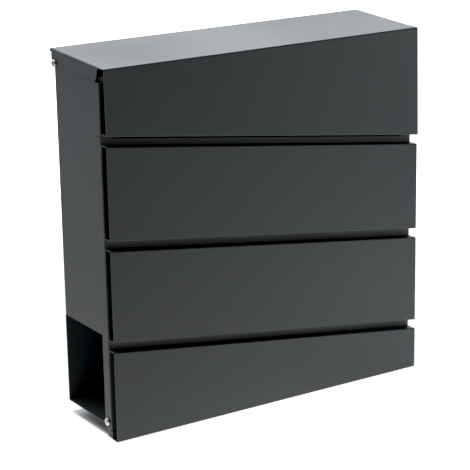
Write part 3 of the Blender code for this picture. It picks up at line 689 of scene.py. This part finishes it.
def hex_mesh(name, centre, direction, across_flats, bore, thickness, flat_at=0.0, sides=96, chamfer=0.5, thread=0.0):
    """A hexagon nut: crowned corners, countersunk bore and, if asked, thread grooves in the bore."""
    turn = Z.rotation_difference(direction).to_matrix()
    flat = across_flats / 2.0
    corner = flat / math.cos(math.pi / 6)

    def ring(radius_of, height):
        out = []
        for i in range(sides):
            a = 2 * math.pi * i / sides
            r = radius_of(a)
            out.append(turn @ Vector((r * math.cos(a + flat_at), r * math.sin(a + flat_at), height)) + centre)
        return out

    def hexagon(a):
        return flat / math.cos((a + math.pi / 6) % (math.pi / 3) - math.pi / 6)

    def crowned(a):
        return min(hexagon(a), corner - 2.2 * chamfer)

    rows = [
        ring(lambda a: bore + 0.35, 0.0), ring(lambda a: flat - 0.25, 0.0),
        ring(lambda a: min(hexagon(a), flat + 0.02), 0.14), ring(hexagon, chamfer),
        ring(hexagon, thickness - chamfer), ring(lambda a: min(hexagon(a), flat + 0.02), thickness - 0.14),
        ring(lambda a: flat - 0.25, thickness), ring(lambda a: bore + 0.35, thickness), ring(lambda a: bore, thickness - 0.35),
    ]
    if thread:
        count = int((thickness - 0.9) / thread)
        for i in range(count):
            top = thickness - 0.45 - thread * i
            rows += [ring(lambda a: bore, top), ring(lambda a: bore + 0.22, top - thread / 2.0)]
    rows.append(ring(lambda a: bore, 0.35))
    faces = []
    for low, high in zip(rows, rows[1:] + rows[:1]):
        for i in range(sides):
            j = (i + 1) % sides
            faces.append([low[i], low[j], high[j], high[i]])
    mesh = mesh_of(name, faces)
    outward(mesh)
    mesh.shade_smooth()
    mesh.set_sharp_from_angle(angle=math.radians(22))
    return mesh


def hinge_set(what, axis):
    for side, edge, inward, turn in (("left", 0.0, X, TO_X), ("right", WIDTH, -X, TO_NEG_X)):
        face = Vector((edge - HALF, axis.y, axis.z))
        reach = BODY_INSET + SHEET + PLAY + NUT_T + 1.2
        under = -PLAY
        profile = [(0, under - HEAD_H), (1.2, under - HEAD_H)]
        profile += [(1.7 + 2.3 * math.sin(a), under - HEAD_H + 1.9 * (1 - math.cos(a))) for a in (math.radians(d) for d in (0, 12, 24, 36, 48, 60, 72, 84, 90))]
        profile += [(HEAD_R, under - 0.15), (HEAD_R - 0.15, under), (SHANK_R, under)]
        h = 1.6
        while h < reach - 0.9:
            profile += [(SHANK_R, h), (SHANK_R - 0.3, h + 0.35)]
            h += 0.7
        profile += [(SHANK_R, reach - 0.5), (SHANK_R - 0.45, reach), (0, reach)]
        mesh = lathe_mesh("screw", profile, face, turn, 40, 40.0)
        screw = piece(f"{what}_screw_{side}", mesh, f"{what}_hinge_screw_{side}", "zinc_steel")
        carve(screw, cross_recess("recess", face - inward * (PLAY + HEAD_H), inward, 1.9, 1.7))
        screw.data.shade_smooth()
        screw.data.set_sharp_from_angle(angle=math.radians(38))
        inner = SHEET + PLAY
        washer = [
            (HOLE_R, inner + 0.08), (HOLE_R + 0.08, inner), (WASHER_R - 0.12, inner), (WASHER_R, inner + 0.12),
            (WASHER_R, inner + WASHER_T - 0.12), (WASHER_R - 0.12, inner + WASHER_T), (HOLE_R + 0.08, inner + WASHER_T), (HOLE_R, inner + WASHER_T - 0.08),
        ]
        piece(f"{what}_washer_{side}", lathe_mesh("washer", washer, face, turn, 48), f"{what}_hinge_washer_{side}", "nylon")
        seat = face + inward * (BODY_INSET + SHEET + PLAY)
        piece(f"{what}_nut_{side}", hex_mesh("nut", seat, inward, NUT_AF, 2.15, NUT_T, math.radians(90), 96, 0.45, 0.7), f"{what}_hinge_nut_{side}", "zinc_steel")


# ---- lock ----------------------------------------------------------------------------------------------
def lock():
    zero = lock_axis
    head, thread_end, plug_end = -2.7, 17.0, 18.4
    profile = [(5.8, head + 0.45), (6.0, head + 0.2), (8.1, head + 0.2)]
    profile += [(8.6 + 1.0 * math.sin(a), head + 1.0 - 0.8 * math.cos(a)) for a in (math.radians(d) for d in (0, 18, 36, 54, 72, 90))]
    profile += [(9.6, -0.35), (9.45, -0.2), (8.0, -0.2)]
    h = 0.8
    while h < thread_end - 1.2:
        profile += [(8.0, h), (7.62, h + 0.5)]
        h += 1.0
    profile += [(8.0, thread_end - 0.6), (7.5, thread_end), (5.8, thread_end)]
    piece("lock_collar", lathe_mesh("collar", profile, zero, TO_Y, 72, 28.0), "lock_housing", "nickel_plate")
    piece("lock_ring_nut", hex_mesh("ring_nut", zero + Y * (SHEET + 0.3), Y, 20.0, 8.2, 4.0, 0.0, 144, 0.7, 1.0), "lock_nut", "nickel_plate")

    barrel = [(0, head), (4.6, head), (5.0, head + 0.03), (5.35, head + 0.18), (5.5, head + 0.5), (5.5, plug_end - 0.2), (5.3, plug_end), (2.6, plug_end), (2.6, plug_end + 2.4), (2.4, plug_end + 2.6), (0, plug_end + 2.6)]
    plug = piece("lock_barrel_plug", lathe_mesh("plug", barrel, zero, TO_Y, 64), "lock_plug", "nickel_plate")
    # keyway with a warding step, and the thread bore for the cam screw
    y = zero + Y * (head - 1.0)
    key = [Vector((-1.1, 0, -3.9)), Vector((1.1, 0, -3.9)), Vector((1.1, 0, -0.9)), Vector((0.55, 0, -0.5)), Vector((1.1, 0, -0.1)), Vector((1.1, 0, 3.9)), Vector((-1.1, 0, 3.9)), Vector((-1.1, 0, 1.9)), Vector((-0.5, 0, 1.5)), Vector((-1.1, 0, 1.1))]
    carve(plug, [
        cutter_of("keyway", prism_faces([y + p for p in key], Y * 9.0)),
        round_cutter("plug_thread", zero + Y * (plug_end + 1.6), Y, 1.6, 9.0, 28),
    ])
    plug.data.shade_smooth()
    plug.data.set_sharp_from_angle(angle=math.radians(32))

    t0 = plug_end + 0.3
    outline = [Vector((8.0 * math.cos(math.radians(90 + 7.5 * i)), 0, 8.0 * math.sin(math.radians(90 + 7.5 * i)))) for i in range(25)]
    outline += [Vector((30.0, 0, -6.0))]
    outline += [Vector((34.5 + 1.5 * math.cos(math.radians(a)), 0, -4.5 - 1.0 + 1.0 + 1.2 * math.sin(math.radians(a)))) for a in (-60, -40, -20, 0)]
    outline += [Vector((34.5 + 1.5 * math.cos(math.radians(a)), 0, 4.5 + 1.2 * math.sin(math.radians(a)))) for a in (0, 20, 40, 60)]
    outline += [Vector((30.0, 0, 6.0))]
    mesh = mesh_of("cam", prism_faces([zero + Y * t0 + p for p in outline], Y * 1.8))
    outward(mesh)
    cam = piece("cam_arm", mesh, "lock_cam", "zinc_steel")
    carve(cam, [round_cutter("cam_eye", zero + Y * (t0 + 0.9), Y, 2.8, 6.0, 40)])
    rounded(cam, 0.22, 40.0, 3)
    base = plug_end + 2.6 + 0.3
    profile = [(0, plug_end - 1.0), (1.0, plug_end - 1.0), (1.3, plug_end - 0.7), (1.3, base), (3.65, base), (3.8, base + 0.15)]
    profile += [(2.0 + 1.8 * math.cos(a), base + 1.1 + 1.1 * math.sin(a)) for a in (math.radians(d) for d in (0, 15, 30, 45, 60, 75, 90))]
    profile += [(0, base + 2.2)]
    screw = piece("cam_screw", lathe_mesh("cam_screw", profile, zero, TO_Y, 40), "lock_cam_screw", "zinc_steel")
    carve(screw, cross_recess("cam_recess", zero + Y * (base + 2.2), -Y, 1.7, 1.3))
    screw.data.shade_smooth()
    screw.data.set_sharp_from_angle(angle=math.radians(38))
    return t0


def keeper(cam_front):
    t, half = 1.5, 16.0
    face = PLATE_DEPTH + SHEET + 0.3
    stand = PLATE_DEPTH + cam_front + 1.8 + 0.5
    top, seat, low = 94.0, 104.0, 119.0
    outline = [
        (face, low), (face, seat), (stand, seat), (stand, top), (stand + t, top),
        (stand + t, seat + t), (face + t, seat + t), (face + t, low),
    ]
    mesh = mesh_of("keeper", prism_faces([pt(HALF - half, d, z) for d, z in outline], X * (2 * half)))
    outward(mesh)
    obj = piece("keeper", mesh, "keeper_bracket", "anthracite_coat")
    carve(obj, [round_cutter("keeper_hole", pt(HALF + off, face, KEEPER_RIVET_DROP), Y, 1.8, 6, 28) for off in (-9.0, 9.0)])
    rounded(obj, 0.4, 40.0, 4)
    back = SHEET + 0.3 + t + 0.2
    for side, off in (("left", -9.0), ("right", 9.0)):
        profile = [(0, -1.4), (0.9, -1.4)] + [(1.8 + 1.2 * math.sin(a), -0.5 - 0.9 * math.cos(a)) for a in (math.radians(d) for d in (0, 18, 36, 54, 72, 90))]
        profile += [(3.0, -0.2), (1.55, -0.2), (1.55, back), (2.7, back), (2.62, back + 0.5), (2.35, back + 0.95), (1.9, back + 1.2), (1.1, back + 1.2), (0.8, back + 0.7), (0, back + 0.7)]
        piece(f"rivet_{side}", lathe_mesh("rivet", profile, pt(HALF + off, PLATE_DEPTH, KEEPER_RIVET_DROP), TO_Y, 36), f"keeper_rivet_{side}", "zinc_steel")


body_shell()
compartment_shelf()
front_fascia()
door_leaf()
tops = [SKIRT_LEFT + GAP, SKIRT_LEFT + 2 * GAP + PANEL, SKIRT_LEFT + 3 * GAP + 2 * PANEL]
channel("front_panel_upper", "panel_upper", tops[0], tops[0] + SLANT, tops[0] + PANEL, tops[0] + PANEL + SLANT)
channel("front_panel_middle", "panel_middle", tops[1], tops[1] + SLANT, tops[1] + PANEL, tops[1] + PANEL + SLANT)
channel("front_panel_lower", "panel_lower", tops[2], tops[2] + SLANT, FRONT_DROP, FRONT_DROP)
lid()
hinge_set("lid", lid_axis)
hinge_set("door", door_axis)
keeper(lock())


# ---- floor, light and camera ------------------------------------------------------------------------------
def floor_glow(tree):
    """Painted light: the floor glows though it is no lamp, and the glow lights the box. It is strongest close in front
    of the box, weaker in a ring behind it, and glows in soft spots and in a rim by the box's front and left edges.
    There is none where the box stands over it, and the sharp stop at the footprint paints the edge of the shadow under
    the box."""
    split = tree.nodes.new("ShaderNodeSeparateXYZ")
    tree.links.new(tree.nodes.new("ShaderNodeNewGeometry").outputs["Position"], split.inputs[0])
    x, y = split.outputs[0], split.outputs[1]

    def m(kind, a, b=0.0, clamp=False):
        node = tree.nodes.new("ShaderNodeMath")
        node.operation, node.use_clamp = kind, clamp
        for i, v in enumerate((a, b)):
            if isinstance(v, (int, float)):
                node.inputs[i].default_value = v
            else:
                tree.links.new(v, node.inputs[i])
        return node.outputs[0]

    away = m("SQRT", m("ADD", m("MULTIPLY", x, x), m("MULTIPLY", y, y)))
    before = m("SUBTRACT", 0.1, m("MULTIPLY", y, 4.0), True)
    behind = m("SUBTRACT", 1.0, before)
    near = m("SUBTRACT", 1.0, m("DIVIDE", away, 0.45), True)
    ring = m("MINIMUM", m("DIVIDE", away, 0.45, True), m("DIVIDE", m("SUBTRACT", 0.9, away), 0.45, True))
    glow = m("MULTIPLY", m("MULTIPLY", near, before), GLOW_FRONT)
    glow = m("ADD", glow, m("MULTIPLY", m("MULTIPLY", near, behind), GLOW_REAR))
    glow = m("ADD", glow, m("MULTIPLY", m("MULTIPLY", ring, behind), GLOW_RING))
    for at_x, at_y, size_x, size_y, power in GLOW_SPOTS:
        dx = m("DIVIDE", m("SUBTRACT", x, at_x), size_x)
        dy = m("DIVIDE", m("SUBTRACT", y, at_y), size_y)
        spot = m("POWER", 2.718281828, m("MULTIPLY", m("ADD", m("MULTIPLY", dx, dx), m("MULTIPLY", dy, dy)), -1.0))
        glow = m("ADD", glow, m("MULTIPLY", spot, power))
    # painted light: a glowing rim on the floor along the box's front and left edges; the whole glow is then cut off
    # within a few millimetres of the box's footprint, which paints the sharp edge of the shadow under the box
    out_x = m("MAXIMUM", m("SUBTRACT", m("ABSOLUTE", x), WIDTH * MM / 2.0 - 0.004), 0.0)
    out_y = m("MAXIMUM", m("SUBTRACT", m("ABSOLUTE", m("ADD", y, BACK_DEPTH * MM / 2.0)), BACK_DEPTH * MM / 2.0 - 0.004), 0.0)
    dist = m("SQRT", m("ADD", m("MULTIPLY", out_x, out_x), m("MULTIPLY", out_y, out_y)))
    rim = m("POWER", 2.718281828, m("DIVIDE", dist, -RIM_REACH))
    front = m("MULTIPLY", m("SUBTRACT", -0.08, y), 25.0, True)
    left = m("MULTIPLY", m("MULTIPLY", m("SUBTRACT", -0.17, x), 25.0, True), m("SUBTRACT", 1.0, front))
    glow = m("ADD", glow, m("MULTIPLY", rim, m("ADD", m("MULTIPLY", front, RIM_FRONT), m("MULTIPLY", left, RIM_LEFT))))
    glow = m("MULTIPLY", glow, m("DIVIDE", dist, PAINTED_SHADOW_EDGE, True))
    # away from the box the floor is drawn white to the camera without lighting anything
    seen = tree.nodes.new("ShaderNodeLightPath").outputs["Is Camera Ray"]
    far_white = m("MULTIPLY", seen, m("DIVIDE", m("SUBTRACT", away, 0.3), 0.5, True))
    return m("ADD", glow, far_white)


# floor glow, painted light from a floor that is no lamp: (centre x, centre y, reach x, reach y, strength) of each soft
# spot
GLOW_FRONT, GLOW_REAR, GLOW_RING = 1.39, 0.68, 0.02
# painted light: strengths of the floor's rim glow by the box, and the short reach over which the glow stops at the
# footprint, painting the shadow's sharp edge
RIM_FRONT, RIM_LEFT, RIM_REACH, PAINTED_SHADOW_EDGE = 0.55, 0.30, 0.045, 0.003
GLOW_SPOTS = [
    (-0.42, -0.36, 0.22, 0.2, 0.18),
    (0.42, -0.36, 0.22, 0.2, 1.16),
    (0.0, -0.42, 0.3, 0.2, 0.54),
    (-0.48, 0.0, 0.18, 0.3, 0.25),
    (0.5, -0.05, 0.2, 0.3, 0.47),
    (0.2, 0.8, 0.8, 0.5, 0.23),
    (0.1, -0.95, 0.4, 0.3, 0.46),
]


def floor():
    """A pale floor under the box, drawn as rings, that glows with the painted light of floor_glow; it can be seen
    through from below.
    """
    bm = bmesh.new()
    z = cad_low.z - 0.0006
    previous = None
    for radius in (0.0, 0.3, 0.7, 1.4, 3.0, 6.0, 12.0, 30.0):
        if radius == 0.0:
            ring = [bm.verts.new((0, 0, z))]
        else:
            ring = [bm.verts.new((radius * math.cos(2 * math.pi * i / 64), radius * math.sin(2 * math.pi * i / 64), z)) for i in range(64)]
        if previous is not None:
            for i in range(64):
                j = (i + 1) % 64
                bm.faces.new([previous[0], ring[i], ring[j]] if len(previous) == 1 else [previous[i], ring[i], ring[j], previous[j]])
        previous = ring
    mesh = bpy.data.meshes.new("floor")
    bm.to_mesh(mesh)
    bm.free()
    obj = bpy.data.objects.new("floor", mesh)
    bpy.context.scene.collection.objects.link(obj)
    mat = bpy.data.materials.new("pale_floor")
    mat.use_nodes = True
    tree = mat.node_tree
    shader = tree.nodes["Principled BSDF"]
    shader.inputs["Base Color"].default_value = (0.9, 0.9, 0.9, 1)
    shader.inputs["Roughness"].default_value = 0.9
    shader.inputs["Specular IOR Level"].default_value = 0.0
    shader.inputs["Emission Color"].default_value = (1, 1, 1, 1)
    # painted light: the floor's emission glows and lights the box though the floor is no lamp
    tree.links.new(floor_glow(tree), shader.inputs["Emission Strength"])
    clear = tree.nodes.new("ShaderNodeBsdfTransparent")
    mix = tree.nodes.new("ShaderNodeMixShader")
    side = tree.nodes.new("ShaderNodeNewGeometry")
    tree.links.new(side.outputs["Backfacing"], mix.inputs["Fac"])
    tree.links.new(shader.outputs["BSDF"], mix.inputs[1])
    tree.links.new(clear.outputs["BSDF"], mix.inputs[2])
    tree.links.new(mix.outputs["Shader"], tree.nodes["Material Output"].inputs["Surface"])
    mesh.materials.append(mat)
    return obj


def softbox(name, place, target, width, height, power, colour=(1, 1, 1)):
    data = bpy.data.lights.new(name, "AREA")
    data.shape = "RECTANGLE"
    data.size, data.size_y = width, height
    data.energy = power
    data.color = colour
    obj = bpy.data.objects.new(name, data)
    bpy.context.scene.collection.objects.link(obj)
    obj.location = place
    obj.rotation_mode = "QUATERNION"
    obj.rotation_quaternion = (Vector(target) - Vector(place)).to_track_quat("-Z", "Y")
    obj.visible_camera = False
    return obj


# Lamps at the right graze the fronts, two large ones behind light the lid, two steep at the left
# throw the lid flange's shadow and reach into the opening, and the floor's painted glow, though
# it is no lamp, brightens every face towards its foot.
COOL, FAINT, WARM = (0.955, 1.0, 1.045), (0.97, 1.0, 1.02), (1.05, 0.99, 0.95)
softbox("rear_wall", (0.6, 3.0, 1.3), (0, 0, 0.1), 5.0, 2.6, 90.94, COOL)
softbox("rear_high", (0.4, 2.4, 2.2), (0, 0, 0), 4.0, 1.6, 51.17, COOL)
softbox("left_high", (-1.6, -0.2, 1.4), (0, -0.05, -0.1), 0.8, 0.8, 3.00, WARM)
softbox("left_top", (-0.8, 0.1, 2.0), (0, -0.05, 0), 0.8, 0.8, 8.40, WARM)
softbox("right_low", (1.5, -1.3, 0.0), (0, -0.1, -0.05), 0.9, 0.3, 4.33, FAINT)
softbox("right_far", (2.3, -0.8, 0.45), (0, -0.1, 0), 1.4, 1.0, 3.36, FAINT)
floor()

world = bpy.data.worlds.new("studio")
bpy.context.scene.world = world
world.use_nodes = True
sky = world.node_tree
sky.nodes["Background"].inputs["Color"].default_value = (1, 1, 1, 1)
sky.nodes["Background"].inputs["Strength"].default_value = 0.0
pale = sky.nodes.new("ShaderNodeBackground")
pale.inputs["Color"].default_value = (1, 1, 1, 1)
pale.inputs["Strength"].default_value = 1.0
seen = sky.nodes.new("ShaderNodeMixShader")
# the surroundings look white but give no light, so that the gaps and the openings stay dark
sky.links.new(sky.nodes.new("ShaderNodeLightPath").outputs["Is Camera Ray"], seen.inputs["Fac"])
sky.links.new(sky.nodes["Background"].outputs[0], seen.inputs[1])
sky.links.new(pale.outputs[0], seen.inputs[2])
sky.links.new(seen.outputs[0], sky.nodes["World Output"].inputs["Surface"])

camera_data = bpy.data.cameras.new("camera")
camera_data.sensor_width = 36.0
camera_data.lens = 137.927
camera_data.clip_start = 0.05
camera_data.clip_end = 100.0
camera = bpy.data.objects.new("camera", camera_data)
bpy.context.scene.collection.objects.link(camera)
right = Vector((0.83995454, -0.54240069, -0.01666921))
ahead = Vector((0.51654036, 0.80856757, -0.28178811))
ahead.normalize()
right = (right - ahead * right.dot(ahead)).normalized()
down = ahead.cross(right)
camera.matrix_world = Matrix((
    (right.x, -down.x, -ahead.x, -0.969353),
    (right.y, -down.y, -ahead.y, -1.552879),
    (right.z, -down.z, -ahead.z, 0.503510),
    (0, 0, 0, 1),
))
bpy.context.scene.camera = camera
bpy.context.scene.view_settings.view_transform = "Standard"
bpy.context.scene.view_settings.look = "None"
bpy.context.scene.view_settings.use_curve_mapping = True
bpy.context.scene.view_settings.curve_mapping.black_level = (0.0068, 0.0068, 0.0068)
bpy.context.scene.view_settings.curve_mapping.update()
